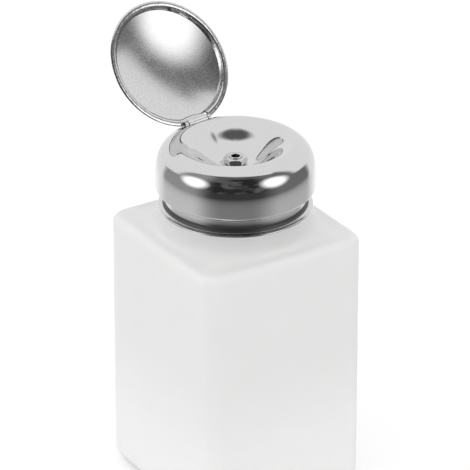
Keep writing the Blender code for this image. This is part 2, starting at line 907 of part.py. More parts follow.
def make_lid(head):
    """The round lid, modelled shut about its hinge axis and then swung open."""
    hinge = bpy.data.objects.new("lid_hinge", None)
    parts.objects.link(hinge)
    hinge.parent = head
    hinge.location = (0, hinge_radius, hinge_height)
    lid = turned("lid_shell", lid_outline(), lid_facets, finish=polished("lid_steel"), closed=False)
    lid.data.transform(Matrix.Translation((0, -hinge_radius, lid_rim_height)))
    wall_foot = lid_rim_height + lid_wall_foot_height
    hem_cut = block(
        "hem_cut",
        (-hem_cut_half_width, -lid_sheet, -cut_overrun),
        (hem_cut_half_width, lid_radius, wall_foot),
    )
    hem_trim = block(
        "hem_trim",
        (-hem_trim_half_width, hem_trim_reach, -cut_overrun),
        (hem_trim_half_width, lid_radius, wall_foot),
    )
    ear_room = cross_rod("ear_room", ear_radius + seat_gap, hem_cut_half_width, small_facets)
    for cutter in (hem_cut, hem_trim, ear_room):
        combine(lid, cutter, "DIFFERENCE")
        bpy.data.objects.remove(cutter)
    tongue = cross_rod("tongue", hinge_barrel_radius, hinge_barrel_length / 2, small_facets)
    wall_middle = (lid_wall_foot_height + lid_wall_top_height) / 2 + lid_rim_height
    strip = block(
        "strip",
        (-hinge_barrel_length / 2, -hinge_barrel_radius, 0),
        (hinge_barrel_length / 2, lid_sheet - hinge_barrel_radius, wall_middle),
    )
    join_shape(tongue, strip)
    join_shape(lid, tongue)
    bore = cross_rod("lid_bore", hinge_pin_radius + pin_clearance, hinge_barrel_length, small_facets)
    combine(lid, bore, "DIFFERENCE")
    bpy.data.objects.remove(bore)
    lid.parent = hinge
    hinge.rotation_euler.x = -lid_opening_angle


def make_part():
    clear_scene()
    head = bpy.data.objects.new("head_axis", None)
    parts.objects.link(head)
    head.location = (0, 0, collar_rim_height)
    head.rotation_euler.z = head_turn
    make_bottle()
    make_collar()
    make_collar_liner()
    make_neck_gasket()
    make_pump_housing()
    make_guide_bush()
    make_stem_seal()
    make_ball("inlet_ball", inlet_ball_radius, inlet_ball_height)
    make_ball_cage()
    make_dip_tube()
    make_press_dome(head)
    make_nut("top_nut", top_nut_bottom, head)
    make_stem_tube()
    make_under_washer()
    make_nut("under_nut", under_nut_bottom, head)
    make_piston()
    make_piston_seal()
    make_ball("outlet_ball", outlet_ball_radius, outlet_ball_height)
    make_return_spring()
    make_hinge_bracket(head)
    make_hinge_pin(head)
    make_lid(head)


make_part()
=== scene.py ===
import json
import math

import bmesh
import bpy
from mathutils import Matrix, Vector


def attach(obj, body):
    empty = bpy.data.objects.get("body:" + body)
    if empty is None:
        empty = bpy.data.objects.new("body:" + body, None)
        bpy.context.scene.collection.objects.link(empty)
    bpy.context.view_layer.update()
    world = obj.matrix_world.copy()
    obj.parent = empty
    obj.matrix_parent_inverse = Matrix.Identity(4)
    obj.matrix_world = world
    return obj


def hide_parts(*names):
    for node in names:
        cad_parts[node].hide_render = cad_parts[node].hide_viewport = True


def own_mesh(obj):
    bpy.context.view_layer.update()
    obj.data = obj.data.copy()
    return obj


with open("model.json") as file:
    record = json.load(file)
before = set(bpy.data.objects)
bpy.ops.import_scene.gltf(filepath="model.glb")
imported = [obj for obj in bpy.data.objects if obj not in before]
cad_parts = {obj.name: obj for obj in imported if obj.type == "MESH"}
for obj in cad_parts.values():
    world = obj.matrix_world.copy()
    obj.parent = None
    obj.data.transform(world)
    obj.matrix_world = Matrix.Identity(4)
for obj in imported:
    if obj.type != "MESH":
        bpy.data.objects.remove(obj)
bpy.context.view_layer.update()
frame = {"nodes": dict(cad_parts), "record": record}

bpy.ops.object.select_all(action="DESELECT")

# Bottle
bottle_side = 0.065
corner_radius = 0.0065
foot_radius = 0.006
edge_radius = 0.0031
edge_height = 0.097
shoulder_rise = 0.0012
cove_width = 0.0062
cove_height = 0.0058
neck_radius = 0.0208
neck_top = 0.111
bottle_wall = 0.0011

# Screw thread
thread_pitch = 0.003
thread_depth = 0.0008
thread_foot = 0.0014
thread_top_share = 0.45
thread_sink = 0.0002
thread_turns = 1.6
neck_thread_foot = 0.1055
cap_thread_foot = 0.107
liner_radius = 0.0219

# Collar
rim_height = 0.105
collar_waist = 0.02425
waist_height = 0.1101
collar_radius = 0.02452
collar_top = 0.1158
collar_hole = 0.0085
collar_sheet = 0.0004
collar_corner = 0.0012
flare_width = 0.00218
flare_height = 0.0019
rim_bead = 0.00035
rim_bead_arc = (70, -150)
# Band round the collar's foot whose steel is darkened as painted shade
crease_top = 0.1074
crease_bottom = 0.1057

# Press dome, on its own axis
dome_sheet = 0.0005
stem_hole = 0.00245
dish_height = 0.1203
dish_floor = 0.0044
dish_depth = 0.0079
dish_power = 1.15
crest_radius = 0.0202
side_width = 0.0074
side_height = 0.0159
side_power = 1.36
rise_power = 0.45
tuck_height = 0.0014
hem_radius = 0.0251
hem_band = 0.0011
hem_bead = 0.0002
crest_height = dish_height + dish_depth
widest_height = crest_height - side_height
widest_radius = crest_radius + side_width
hem_top = widest_height - tuck_height
head_turn = math.radians(6.2)

# Hinge, in the plane behind the dome's crest
hinge_back = 0.0213
hinge_height = 0.128
barrel_half = 0.004
notch_front = 0.0197
notch_half = 0.008
notch_floor = 0.1261
notch_spare = 0.0024

# Lid, measured from its rim when shut
lid_rim = 0.12835
lid_forward = 0.0011
lid_sheet = 0.0005
bowl_radius = 0.0201
bowl_depth = 0.0015
bowl_rise = 0.0029
wall_foot = 0.021
lid_hem_half_width = 0.00102
lid_hem_half_height = 0.0004
hem_cut_half = 0.0058
hem_cut_share = 0.98
lid_opening = math.radians(130)

# Roll and leaf of the lid, on the hinge's axis
roll_radius = 0.0014
roll_angle = math.radians(290)
strip_length = 0.00187
strip_lean = math.radians(78.4)
leaf_length = 0.003
leaf_end = 0.0186
leaf_half = 0.0052
leaf_curve = 0.0192
leaf_groove = 0.00025
leaf_edge = lid_sheet / 6

# Stem and nut
stem_radius = 0.00215
stem_bore = 0.0015
stem_foot = 0.1035
stem_top = 0.123
stem_lip = 0.0002
stem_crimp_share = 0.53
nut_flats = 0.007
nut_bottom = 0.1206
nut_top = 0.1226
nut_sides = 6
nut_chamfer = 0.0004
nut_chamfer_slope = 0.6
nut_edge = nut_chamfer / 6
nut_angle = math.radians(-2.6)

# Return spring
spring_radius = 0.0042
wire_radius = 0.0003
spring_foot = 0.0868577
spring_top = 0.0991115
spring_turns = 7
closed_pitch = 0.0008

# Facets round each piece, and steps along its outline
around = 240
lid_facets = 200
leaf_facets = 360
stem_facets = 96
nut_facets = 144
wire_facets = 14
side_cuts = 12
height_cuts = 9
corner_steps = 10
shoulder_steps = 6
cove_steps = 10
thread_steps = 150
collar_top_steps = 10
collar_corner_steps = 10
waist_steps = 5
collar_wall_steps = 12
flare_steps = 16
rim_steps = 12
fine_steps = 400
tuck_steps = 50
dome_steps = 120
hem_bead_steps = 8
bowl_steps = 24
lid_hem_steps = 32
strip_steps = 4
roll_steps = 28
lip_steps = 6
spring_steps = 36

# Shading and merging
sharp = math.radians(32)
nut_sharp = math.radians(20)
nut_bevel_angle = math.radians(25)
wire_sharp = math.radians(50)
merge_distance = 0.000001


def choose(piece, kind, wanted):
    """Selects, in edit mode, the vertices, edges or faces that pass a test."""
    bpy.ops.mesh.select_mode(type=kind)
    bpy.ops.mesh.select_all(action="DESELECT")
    shape = bmesh.from_edit_mesh(piece.data)
    parts = {"VERT": shape.verts, "EDGE": shape.edges, "FACE": shape.faces}[kind]
    for part in parts:
        if wanted(part):
            part.select_set(True)
    shape.select_flush_mode()
    bmesh.update_edit_mesh(piece.data)


def named(name):
    """Names the piece that was just made, and its mesh."""
    piece = bpy.context.object
    piece.name = name
    piece.data.name = name
    return piece


def turn(angle, axis, centre):
    """Turns what is selected by the right-hand rule."""
    bpy.ops.transform.rotate(value=-angle, orient_axis=axis, center_override=centre)


def edit_whole(piece):
    """Opens one piece for editing, with all of it selected."""
    bpy.ops.object.mode_set(mode="OBJECT")
    bpy.ops.object.select_all(action="DESELECT")
    piece.select_set(True)
    bpy.context.view_layer.objects.active = piece
    bpy.ops.object.mode_set(mode="EDIT")
    bpy.ops.mesh.select_all(action="SELECT")


def apply_modifier(piece, kind, **settings):
    modifier = piece.modifiers.new(kind.lower(), kind)
    for key, value in settings.items():
        setattr(modifier, key, value)
    bpy.context.view_layer.objects.active = piece
    bpy.ops.object.modifier_apply(modifier=modifier.name)


def clean(piece, smooth_angle=sharp, outward=True):
    """Merges doubles, points the faces outward and shades the piece."""
    edit_whole(piece)
    bpy.ops.mesh.remove_doubles(threshold=merge_distance)
    if outward:
        bpy.ops.mesh.normals_make_consistent(inside=False)
    bpy.ops.object.mode_set(mode="OBJECT")
    bpy.ops.object.shade_smooth_by_angle(angle=smooth_angle)


def evenly(points, count):
    """The same line through count + 1 points, spaced evenly along it."""
    lengths = [0]
    for (radius, height), (next_radius, next_height) in zip(points, points[1:]):
        lengths.append(lengths[-1] + math.hypot(next_radius - radius, next_height - height))
    spaced = []
    k = 0
    for i in range(count + 1):
        at = lengths[-1] * i / count
        while k < len(points) - 2 and lengths[k + 1] < at:
            k += 1
        share = (at - lengths[k]) / (lengths[k + 1] - lengths[k])
        (radius, height), (next_radius, next_height) = points[k], points[k + 1]
        spaced.append((radius + share * (next_radius - radius), height + share * (next_height - height)))
    return spaced


def inside_line(points, sheet):
    """A line one sheet thickness inside an outline that runs outward and down."""
    inner = []
    for i, (radius, height) in enumerate(points):
        before = points[max(i - 1, 0)]
        after = points[min(i + 1, len(points) - 1)]
        run, rise = after[0] - before[0], after[1] - before[1]
        length = math.hypot(run, rise)
        inner.append((radius + sheet * rise / length, height - sheet * run / length))
    return inner


def arc(centre, radius, start, end, steps):
    """Points on a round stretch, from one angle to another in degrees."""
    points = []
    for i in range(steps + 1):
        angle = math.radians(start + (end - start) * i / steps)
        points.append((centre[0] + radius * math.cos(angle), centre[1] + radius * math.sin(angle)))
    return points


def turned(name, profile, facets=around):
    """Turns an outline of radius and height about the upright axis, ring by ring."""
    radius, height = profile[0]
    bpy.ops.mesh.primitive_circle_add(vertices=facets, radius=radius, location=(0, 0, height))
    piece = named(name)
    bpy.ops.object.transform_apply(location=True)
    bpy.ops.object.mode_set(mode="EDIT")
    bpy.ops.mesh.select_all(action="SELECT")
    for next_radius, next_height in profile[1:]:
        rise = next_height - height
        growth = next_radius / radius
        bpy.ops.mesh.extrude_edges_move(TRANSFORM_OT_translate={"value": (0, 0, rise)})
        bpy.ops.transform.resize(value=(growth, growth, 1), center_override=(0, 0, next_height))
        radius, height = next_radius, next_height
    return piece


def make_bottle():
    """A block rounded at its corners, foot and top edge, cut up finely, with its top left open."""
    half = bottle_side / 2
    edge_band = edge_radius / 9
    bpy.ops.mesh.primitive_cube_add(size=1, location=(0, 0, edge_height / 2))
    bottle = named("frosted_bottle")
    bpy.ops.transform.resize(value=(bottle_side, bottle_side, edge_height))
    bpy.ops.object.transform_apply(location=True, scale=True)
    bpy.ops.object.mode_set(mode="EDIT")
    choose(bottle, "EDGE", lambda e: abs(e.verts[0].co.z - e.verts[1].co.z) > half)
    bpy.ops.mesh.bevel(offset=corner_radius, segments=corner_steps, profile=0.5)
    choose(bottle, "EDGE", lambda e: min(v.co.z for v in e.verts) > edge_height - edge_band)
    bpy.ops.mesh.bevel(offset=edge_radius, segments=corner_steps, profile=0.5)
    choose(bottle, "EDGE", lambda e: max(v.co.z for v in e.verts) < edge_band)
    bpy.ops.mesh.bevel(offset=foot_radius, segments=corner_steps, profile=0.5)
    reach = half - corner_radius
    for i in range(side_cuts + 1):
        place = reach * (2 * i / side_cuts - 1)
        for normal in ((1, 0, 0), (0, 1, 0)):
            bpy.ops.mesh.select_all(action="SELECT")
            bpy.ops.mesh.bisect(plane_co=[place * c for c in normal], plane_no=normal)
    for i in range(1, height_cuts):
        bpy.ops.mesh.select_all(action="SELECT")
        bpy.ops.mesh.bisect(plane_co=(0, 0, edge_height * i / height_cuts), plane_no=(0, 0, 1))
    choose(bottle, "FACE", lambda f: f.calc_center_median().z > edge_height - edge_band / 10)
    bpy.ops.mesh.delete(type="FACE")
    choose(bottle, "EDGE", lambda e: e.is_boundary)
    return bottle


def draw_in_neck(bottle):
    """Brings the square top edge to a circle, and carries it up over the cove to the neck's lip."""
    foot_of_cove = neck_radius + cove_width
    step = shoulder_rise / shoulder_steps
    done = 0
    for i in range(1, shoulder_steps + 1):
        share = i / shoulder_steps
        bpy.ops.mesh.extrude_edges_move(TRANSFORM_OT_translate={"value": (0, 0, step)})
        shape = bmesh.from_edit_mesh(bottle.data)
        ring = [v.co.copy() for v in shape.verts if v.select]
        mean = sum(v.to_2d().length for v in ring) / len(ring)
        height = ring[0].z
        square_kept = (1 - share) / (1 - done)
        round_added = (share - square_kept * done) * foot_of_cove / mean
        scale = square_kept + round_added
        bpy.ops.transform.tosphere(value=round_added / scale, center_override=(0, 0, height))
        bpy.ops.transform.resize(value=(scale, scale, 1), center_override=(0, 0, height))
        done = share
    radius, height = foot_of_cove, edge_height + shoulder_rise
    rings = []
    for i in range(1, cove_steps + 1):
        angle = math.pi / 2 * i / cove_steps
        rise = cove_height * (1 - math.cos(angle))
        rings.append((foot_of_cove - cove_width * math.sin(angle), height + rise))
    rings.append((neck_radius, neck_top))
    for next_radius, next_height in rings:
        growth = next_radius / radius
        bpy.ops.mesh.extrude_edges_move(TRANSFORM_OT_translate={"value": (0, 0, next_height - height)})
        bpy.ops.transform.resize(value=(growth, growth, 1), center_override=(0, 0, next_height))
        radius, height = next_radius, next_height
    clean(bottle)
    apply_modifier(bottle, "SOLIDIFY", thickness=bottle_wall, offset=-1, use_even_offset=False)
    clean(bottle, outward=False)


def make_thread(name, radius, depth, foot_height):
    """One ridge wound up round the neck, or inside the cap, where its depth is negative."""
    middle = radius + depth / 2
    bpy.ops.mesh.primitive_plane_add(size=1, location=(middle, 0, foot_height), rotation=(math.pi / 2, 0, 0))
    thread = named(name)
    bpy.ops.transform.resize(value=(abs(depth), 1, thread_foot))
    bpy.ops.object.transform_apply(location=True, rotation=True, scale=True)
    bpy.ops.object.mode_set(mode="EDIT")
    choose(thread, "VERT", lambda v: (v.co.x - middle) * depth > 0)
    bpy.ops.transform.resize(value=(1, 1, thread_top_share), center_override=(middle, 0, foot_height))
    bpy.ops.object.mode_set(mode="OBJECT")
    apply_modifier(
        thread,
        "SCREW",
        axis="Z",
        angle=2 * math.pi * thread_turns,
        screw_offset=thread_pitch * thread_turns,
        steps=thread_steps,
        render_steps=thread_steps,
        use_merge_vertices=False,
    )
    bpy.ops.object.mode_set(mode="EDIT")
    choose(thread, "EDGE", lambda e: e.is_boundary)
    bpy.ops.mesh.fill_holes(sides=4)
    clean(thread)
    return thread


def make_collar():
    """The spun collar: flat top, a wall that widens downward, flared foot and a rolled rim."""
    corner = (collar_waist - collar_corner, collar_top - collar_corner)
    flare_top = rim_height + flare_height
    outer = [(collar_hole, collar_top)]
    for i in range(1, collar_top_steps):
        share = i / collar_top_steps
        outer.append((collar_hole + (corner[0] - collar_hole) * share, collar_top))
    outer += arc(corner, collar_corner, 90, 0, collar_corner_steps)
    for i in range(1, waist_steps + 1):
        outer.append((collar_waist, corner[1] + (waist_height - corner[1]) * i / waist_steps))
    for i in range(1, collar_wall_steps):
        share = i / collar_wall_steps
        spread = (collar_radius - collar_waist) * share**2
        outer.append((collar_waist + spread, waist_height + (flare_top - waist_height) * share))
    flare = flare_width - rim_bead
    for i in range(flare_steps + 1):
        angle = math.pi / 2 * i / flare_steps
        drop = (flare_height - rim_bead) * math.sin(angle)
        outer.append((collar_radius + flare * (1 - math.cos(angle)), flare_top - drop))
    inner = inside_line(outer, collar_sheet)
    bead = arc((collar_radius + flare, rim_height), rim_bead, *rim_bead_arc, rim_steps)
    profile = outer + bead + inner[::-1] + [outer[0]]
    collar = turned("spun_collar", profile)
    clean(collar)
    return collar


def dome_line():
    """The dome's outer line: dish, crest, full side, tuck and beaded hem."""
    dish = [(stem_hole, dish_height)]
    for i in range(fine_steps + 1):
        share = i / fine_steps
        bowl = math.sin(math.pi / 2 * share**dish_power) ** 2
        dish.append((dish_floor + (crest_radius - dish_floor) * share, dish_height + dish_depth * bowl))
    side = []
    for i in range(fine_steps + 1):
        angle = math.pi / 2 * (1 - i / fine_steps) ** 2
        radius = crest_radius + side_width * math.cos(angle) ** side_power
        side.append((radius, widest_height + side_height * math.sin(angle) ** rise_power))
    tuck = widest_radius - hem_radius
    for i in range(1, tuck_steps + 1):
        angle = math.pi / 2 * i / tuck_steps
        drop = tuck_height * math.sin(angle)
        side.append((widest_radius - tuck * (1 - math.cos(angle)), widest_height - drop))
    line = evenly(dish + side[1:], dome_steps)
    middle = hem_top - hem_band / 2
    bead = arc((hem_radius, middle), hem_bead, 90, -90, hem_bead_steps)
    return line + bead + [(hem_radius, hem_top - hem_band)]


def make_dome():
    """The pressed dome, with the notch behind its crest for the hinge."""
    dome = turned("pressed_dome", dome_line())
    sides = (
        (notch_half, (1, 0, 0)),
        (-notch_half, (1, 0, 0)),
        (notch_front, (0, 1, 0)),
        (notch_floor, (0, 0, 1)),
    )
    for place, normal in sides:
        choose(dome, "FACE", lambda f: near_notch(f.calc_center_median(), notch_spare))
        bpy.ops.mesh.bisect(plane_co=[place * c for c in normal], plane_no=normal)
    choose(dome, "FACE", lambda f: near_notch(f.calc_center_median(), 0))
    bpy.ops.mesh.delete(type="FACE")
    clean(dome)
    apply_modifier(dome, "SOLIDIFY", thickness=dome_sheet, offset=-1, use_even_offset=True)
    turn_head(dome)
    clean(dome, outward=False)
    return dome


def near_notch(place, spare):
    """Whether a place lies in the hinge's notch, or no further than some spare room from it."""
    across = abs(place.x) < notch_half + spare
    return across and place.y > notch_front - spare and place.z > notch_floor - spare


def turn_head(piece):
    """Turns a piece to where the head stands on the bottle."""
    edit_whole(piece)
    turn(head_turn, "Z", (0, 0, 0))
    bpy.ops.object.mode_set(mode="OBJECT")


def open_lid(piece):
    """Swings a piece that was made with the lid shut, then turns it with the head."""
    edit_whole(piece)
    turn(-lid_opening, "X", (0, hinge_back, hinge_height))
    turn(head_turn, "Z", (0, 0, 0))
    bpy.ops.object.mode_set(mode="OBJECT")


def cut_box(piece, low, high):
    """Cuts a block out of a piece."""
    middle = [(a + b) / 2 for a, b in zip(low, high)]
    bpy.ops.mesh.primitive_cube_add(size=1, location=middle)
    block = named("cutting_block")
    bpy.ops.transform.resize(value=[b - a for a, b in zip(low, high)])
    bpy.ops.object.transform_apply(location=True, scale=True)
    apply_modifier(piece, "BOOLEAN", operation="DIFFERENCE", solver="EXACT", object=block)
    bpy.data.objects.remove(block)


def make_lid():
    """The round lid: a shallow bowl, a steep wall and a flat rolled hem, cut away at the hinge."""
    inner = []
    for i in range(1, bowl_steps + 1):
        share = i / bowl_steps
        inner.append((bowl_radius * share, lid_rim + bowl_depth + bowl_rise * (1 - share**2)))
    inner.append((wall_foot, lid_rim + lid_hem_half_height))
    outer = inside_line(inner, -lid_sheet)
    hem = []
    for i in range(lid_hem_steps + 1):
        angle = math.radians(90 - 270 * i / lid_hem_steps)
        across = lid_hem_half_width * (1 + math.cos(angle))
        hem.append((wall_foot + across, lid_rim + lid_hem_half_height * (1 + math.sin(angle))))
    lid = turned("flip_lid", outer + hem + inner[:-1][::-1], lid_facets)
    bpy.ops.mesh.edge_face_add()
    bpy.ops.mesh.poke()
    choose(lid, "EDGE", lambda e: e.is_boundary)
    bpy.ops.mesh.edge_face_add()
    bpy.ops.mesh.poke()
    bpy.ops.mesh.select_all(action="SELECT")
    bpy.ops.transform.translate(value=(0, -lid_forward, 0))
    clean(lid)
    spare = hem_cut_half / 9
    low = (-hem_cut_half, bowl_radius - lid_forward - 2 * spare, lid_rim - spare)
    high = (hem_cut_half, hinge_back + 2 * spare, lid_rim + hem_cut_share * bowl_depth)
    cut_box(lid, low, high)
    sink_leaf(lid)
    open_lid(lid)
    clean(lid)
    return lid


def sink_leaf(lid):
    """Presses a shallow seat with a round end into the lid's bowl, where the leaf lies."""
    bpy.ops.mesh.primitive_cylinder_add(
        vertices=leaf_facets,
        radius=leaf_curve + leaf_groove,
        depth=2 * bowl_depth,
        location=(0, leaf_end + leaf_curve, lid_rim + bowl_depth / 4),
    )
    block = named("leaf_seat")
    bpy.ops.object.transform_apply(location=True)
    bpy.ops.object.mode_set(mode="EDIT")
    for side in (1, -1):
        bpy.ops.mesh.select_all(action="SELECT")
        edge = (side * (leaf_half + leaf_groove), 0, 0)
        bpy.ops.mesh.bisect(plane_co=edge, plane_no=(side, 0, 0), clear_outer=True, use_fill=True)
    bpy.ops.object.mode_set(mode="OBJECT")
    apply_modifier(lid, "BOOLEAN", operation="DIFFERENCE", solver="EXACT", object=block)
    bpy.data.objects.remove(block)


def make_tongue():
    """The strip that runs from the leaf to the hinge and rolls round its pin."""
    middle = hinge_back + roll_radius - lid_sheet / 2
    bpy.ops.mesh.primitive_plane_add(size=1, location=(0, middle, hinge_height + strip_length))
    tongue = named("lid_tongue")
    bpy.ops.transform.resize(value=(2 * barrel_half, lid_sheet, 1))
    bpy.ops.object.transform_apply(location=True, scale=True)
    bpy.ops.object.mode_set(mode="EDIT")
    bpy.ops.mesh.select_all(action="SELECT")
    step = strip_length / strip_steps
    for _ in range(strip_steps):
        bpy.ops.mesh.extrude_region_move(TRANSFORM_OT_translate={"value": (0, 0, -step)})
    for _ in range(roll_steps):
        bpy.ops.mesh.extrude_region_move(TRANSFORM_OT_translate={"value": (0, 0, 0)})
        turn(-roll_angle / roll_steps, "X", (0, hinge_back, hinge_height))
    lay_down(tongue)
    return tongue


def make_leaf():
    """The leaf that joins the strip to the lid's bowl, with its rounded end."""
    middle = hinge_back + roll_radius - lid_sheet / 2
    bpy.ops.mesh.primitive_cylinder_add(
        vertices=leaf_facets,
        radius=leaf_curve,
        depth=lid_sheet,
        location=(0, middle, hinge_height + leaf_length - leaf_curve),
        rotation=(math.pi / 2, 0, 0),
    )
    leaf = named("lid_leaf")
    bpy.ops.object.transform_apply(location=True, rotation=True)
    bpy.ops.object.mode_set(mode="EDIT")
    foot = hinge_height + strip_length - lid_sheet / 2
    for place, normal in ((leaf_half, (1, 0, 0)), (leaf_half, (-1, 0, 0)), (-foot, (0, 0, -1))):
        bpy.ops.mesh.select_all(action="SELECT")
        centre = [place * c for c in normal]
        bpy.ops.mesh.bisect(plane_co=centre, plane_no=normal, clear_outer=True, use_fill=True)
    lay_down(leaf)
    return leaf


def lay_down(piece):
    """Leans a piece made upright over the hinge onto the lid, softens its edges and opens it."""
    bpy.ops.mesh.select_all(action="SELECT")
    turn(strip_lean, "X", (0, hinge_back, hinge_height))
    clean(piece)
    soften_edges(piece, leaf_edge, sharp)
    open_lid(piece)
    clean(piece)


def soften_edges(piece, width, least_angle):
    """Rounds the edges that turn by more than an angle."""
    apply_modifier(piece, "BEVEL", width=width, segments=2, limit_method="ANGLE", angle_limit=least_angle)


def make_stem():
    """The stem tube, with its rounded lip and crimped foot."""
    crimp = stem_bore * stem_crimp_share
    outer = [(stem_radius, stem_foot), (stem_radius, nut_bottom), (stem_radius, nut_top)]
    lip = arc((stem_radius - stem_lip, stem_top - stem_lip), stem_lip, 0, 90, lip_steps)
    lip += arc((stem_bore + stem_lip, stem_top - stem_lip), stem_lip, 90, 180, lip_steps)
    inner = [(stem_bore, stem_foot + crimp), (crimp, stem_foot + crimp / 2), (crimp, stem_foot)]
    stem = turned("pouring_stem", outer + lip + inner + [outer[0]], stem_facets)
    clean(stem)
    return stem


def make_top_nut():
    """A nut blank turned to shape, then milled to six flats."""
    corner = nut_flats / 2 / math.cos(math.pi / nut_sides) + nut_edge
    inner = stem_radius + stem_lip / 4
    drop = nut_chamfer * nut_chamfer_slope
    profile = [
        (inner + nut_chamfer / 2, nut_top),
        (corner - nut_chamfer * 1.7, nut_top),
        (corner - nut_chamfer * 1.2, nut_top - drop / 5),
        (corner, nut_top - drop * 1.5),
        (corner, nut_bottom + drop / 2),
        (corner - nut_chamfer / 2, nut_bottom),
        (inner, nut_bottom),
        (inner, nut_top - nut_chamfer / 2),
        (inner + nut_chamfer / 2, nut_top),
    ]
    nut = turned("hexagon_nut", profile, nut_facets)
    clean(nut)
    bpy.ops.object.mode_set(mode="EDIT")
    for i in range(nut_sides):
        angle = nut_angle + 2 * math.pi / nut_sides * i
        normal = (math.cos(angle), math.sin(angle), 0)
        flat = [nut_flats / 2 * c for c in normal]
        bpy.ops.mesh.select_all(action="SELECT")
        bpy.ops.mesh.bisect(plane_co=flat, plane_no=normal, clear_outer=True, use_fill=True)
    clean(nut, nut_sharp)
    soften_edges(nut, nut_edge, nut_bevel_angle)
    clean(nut)
    return nut


def make_spring():
    """The wound spring: a closed turn at each end and open turns between."""
    bpy.ops.mesh.primitive_circle_add(
        vertices=wire_facets,
        radius=wire_radius,
        fill_type="NGON",
        location=(spring_radius, 0, spring_foot + wire_radius),
        rotation=(math.pi / 2, 0, 0),
    )
    spring = named("wound_spring")
    bpy.ops.object.transform_apply(location=True, rotation=True)
    bpy.ops.object.mode_set(mode="EDIT")
    bpy.ops.mesh.select_all(action="SELECT")
    rise = spring_top - spring_foot - 2 * wire_radius
    open_pitch = (rise - 2 * closed_pitch) / (spring_turns - 2)
    for i in range(spring_turns * spring_steps):
        closed = i < spring_steps or i >= (spring_turns - 1) * spring_steps
        step = (closed_pitch if closed else open_pitch) / spring_steps
        bpy.ops.mesh.extrude_region_move(TRANSFORM_OT_translate={"value": (0, 0, step)})
        turn(2 * math.pi / spring_steps, "Z", (0, 0, 0))
    clean(spring, wire_sharp)
    return spring


# Grain of the finishes in cells a metre, roughness, and relief in metres
noise_middle = (0.3, 0.7)
frost_grain = 5200
frost_cloud = 60
frost_swell = 130
frost_swell_share = 6
frost_relief = 0.000006
frost_roughness = (0.38, 0.46)
milk_dim = (0.83, 0.83, 0.825)
# Paler colour of the plastic, also used as painted light on the shoulder
milk_bright_and_painted_light = (0.98, 0.98, 0.975)
milk_cloud_share = 0.2
milk_foot_share = 0.65
streak_grain = 1500
streak_stretch = 0.04
steel_cloud = 110
shine_shares = (0.97, 1.03)
roughness_shares = (0.7, 1.3)
steel_relief = 0.0000015
# Level that steel keeps where it is darkened as painted shade, and its roughness there
painted_shade_share = 0.2
dull_roughness = 0.5
speckle_grain = 1600
speckle_relief_share = 3.5
bowl_cloud = 160
bowl_roughness = (0.14, 0.21)
hem_waves = 420
hem_relief_share = 60
hem_roughness = (0.08, 0.16)
lid_brightness = (0.7, 0.8)
# Level of the lid's cut and the leaf's seat, darkened as painted shade
lid_cut_painted_shade = 0.08
lid_blend = lid_sheet / 5
moulded_cloud = 90
moulded_relief = 0.000004

# Places of the colours among the sockets of a Mix node
first_colour = 6
second_colour = 7
mixed_colour = 2


class Nodes:
    """A node tree, with the sums that the finishes and the room need."""

    def __init__(self, tree):
        self.tree = tree

    def add(self, kind, **settings):
        node = self.tree.nodes.new(kind)
        for key, value in settings.items():
            setattr(node, key, value)
        return node

    def join(self, source, socket):
        """Links a socket to another one, or sets it to a value."""
        if isinstance(source, bpy.types.NodeSocket):
            self.tree.links.new(source, socket)
        else:
            socket.default_value = source

    def math(self, operation, *values):
        node = self.add("ShaderNodeMath", operation=operation)
        for value, socket in zip(values, node.inputs):
            self.join(value, socket)
        return node.outputs["Value"]

    def dot(self, first, second):
        node = self.add("ShaderNodeVectorMath", operation="DOT_PRODUCT")
        self.join(first, node.inputs[0])
        self.join(second, node.inputs[1])
        return node.outputs["Value"]

    def parts(self, place):
        split = self.add("ShaderNodeSeparateXYZ")
        self.join(place, split.inputs["Vector"])
        return split.outputs["X"], split.outputs["Y"], split.outputs["Z"]

    def noise(self, place, scale, detail):
        node = self.add("ShaderNodeTexNoise")
        self.join(scale, node.inputs["Scale"])
        self.join(detail, node.inputs["Detail"])
        self.join(place, node.inputs["Vector"])
        return node.outputs["Fac"]

    def ramp(self, value, start, end, low=0.0, high=1.0):
        """A number that goes smoothly from low to high as the value goes from start to end."""
        node = self.add("ShaderNodeMapRange", interpolation_type="SMOOTHSTEP")
        self.join(value, node.inputs["Value"])
        for key, number in (("From Min", start), ("From Max", end), ("To Min", low), ("To Max", high)):
            self.join(number, node.inputs[key])
        return node.outputs["Result"]

    def mix(self, share, first, second):
        """A number between first and second."""
        return self.math("ADD", first, self.math("MULTIPLY", share, self.math("SUBTRACT", second, first)))

    def apart(self, across, along):
        """How far two distances at a right angle reach together."""
        squares = self.math("ADD", self.math("MULTIPLY", across, across), self.math("MULTIPLY", along, along))
        return self.math("SQRT", squares)


